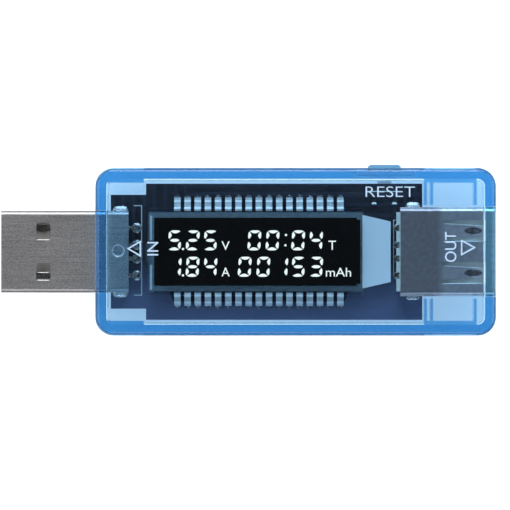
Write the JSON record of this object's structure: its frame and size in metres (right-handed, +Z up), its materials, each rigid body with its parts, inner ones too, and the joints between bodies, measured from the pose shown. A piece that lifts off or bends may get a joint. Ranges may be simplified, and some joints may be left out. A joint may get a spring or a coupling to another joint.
{
  "type": "usb power meter",
  "caption": "In-line USB power meter: translucent blue casing with a type A plug at one end, a type A socket at the other, a segment display and a sprung reset button.",
  "frame": {"origin": "centre of the casing's flat underside", "axes": "+X from the plug end to the socket end, +Y towards the side with the reset button, +Z up through the display"},
  "size_m": [0.0727, 0.0251, 0.0125],
  "materials": {
    "casing_blue": "clear tinted polycarbonate, polished, lightly worn along its edges",
    "button_blue": "the casing's tinted plastic, satin cap",
    "board_mask": "black solder mask over glass-fibre board, satin",
    "moulded_black": "moulded epoxy package, fine grain",
    "resistor_black": "glazed black resistor film",
    "capacitor_ceramic": "fired tan ceramic",
    "tinned_leads": "tin-plated, dull bright",
    "connector_steel": "nickel-plated sheet, fine rolled grain",
    "socket_steel": "nickel-plated sheet, smoother and darker",
    "plunger_nylon": "pale moulded nylon",
    "connector_plastic": "moulded off-white thermoplastic",
    "contact_nickel": "bright nickel plate, fine rolled grain",
    "solder": "reflowed solder, bright with a grainy skin",
    "polariser_film": "near-black film, satin",
    "display_glass": "thin clear glass with ground edges",
    "edge_seal": "grey sealant bead",
    "white_film": "white film",
    "light_guide": "milky light guide, polished edges",
    "guide_plastic": "clear strip over the black board, smooth moulded",
    "lamp_body": "yellow phosphor in a white body",
    "foam_pad": "black adhesive foam",
    "switch_plastic": "moulded black thermoplastic",
    "spring_steel": "bright rolled strip",
    "print_white": "printed white ink",
    "display_segments": "lit display segments"
  },
  "bodies": {
    "housing": {"top_shell": "casing_blue", "bottom_shell": "casing_blue", "circuit_board": "board_mask", "chip_controller": "moulded_black", "controller_leads": "tinned_leads", "chip_memory": "moulded_black", "memory_leads": "tinned_leads", "chip_regulator": "moulded_black", "regulator_leads": "tinned_leads", "shunt_resistor": "resistor_black", "shunt_end_caps": "tinned_leads", "chip_resistors": "resistor_black", "chip_capacitors": "capacitor_ceramic", "diode": "moulded_black", "plug_shell": "connector_steel", "plug_insulator": "connector_plastic", "plug_contacts": "contact_nickel", "plug_solder_joints": "solder", "socket_shell": "socket_steel", "socket_insulator": "connector_plastic", "socket_contacts": "contact_nickel", "socket_solder_joints": "solder", "lcd_front_polariser": "polariser_film", "lcd_front_glass": "display_glass", "lcd_edge_seal": "edge_seal", "lcd_rear_glass": "display_glass", "lcd_rear_polariser": "polariser_film", "backlight_diffuser": "white_film", "backlight_panel": "light_guide", "backlight_reflector": "white_film", "backlight_lamps": "lamp_body", "display_pad": "foam_pad", "pin_guides": "guide_plastic", "lcd_pins_upper": "tinned_leads", "lcd_pins_lower": "tinned_leads", "lcd_solder_joints": "solder", "switch_housing": "switch_plastic", "switch_cover": "connector_steel", "switch_dome": "spring_steel", "switch_terminals": "tinned_leads"},
    "button": {"reset_button": "button_blue"},
    "plunger": {"switch_plunger": "plunger_nylon"}
  },
  "joints": [
    {"name": "reset_press", "type": "slide", "parent": "housing", "child": "button", "axis": [0, -1, 0], "range_m": [0, 0.0003], "stiffness_N_per_m": 200, "springref_m": -0.0005},
    {"name": "plunger_press", "type": "slide", "parent": "housing", "child": "plunger", "axis": [0, -1, 0], "range_m": [0, 0.0003]}
  ],
  "couplings": [
    {"joint": "plunger_press", "follows": "reset_press", "ratio": 1}
  ]
}
